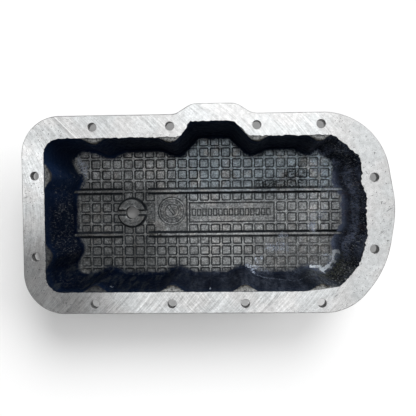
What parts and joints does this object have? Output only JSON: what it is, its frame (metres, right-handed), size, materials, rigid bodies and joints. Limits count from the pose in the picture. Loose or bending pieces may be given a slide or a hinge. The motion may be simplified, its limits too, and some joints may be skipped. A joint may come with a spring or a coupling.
{
  "type": "engine oil pan",
  "caption": "Deep rectangular cast oil pan with a flat bolted gasket flange, drafted walls, a waffle-ribbed floor and an open threaded drain boss.",
  "frame": {"origin": "on the flat underside that rests on the floor, below the centre of the rectangle of the four corner bolt holes", "axes": "+Z out of the open mouth, +X along the length towards the end with the large corner radii, +Y towards the flange's outward bump"},
  "size_m": [0.3736, 0.2109, 0.091],
  "materials": {
    "cast_aluminium": "as cast, with a milled gasket face"
  },
  "bodies": {
    "root": {"oil_pan": "cast_aluminium"}
  },
  "joints": []
}
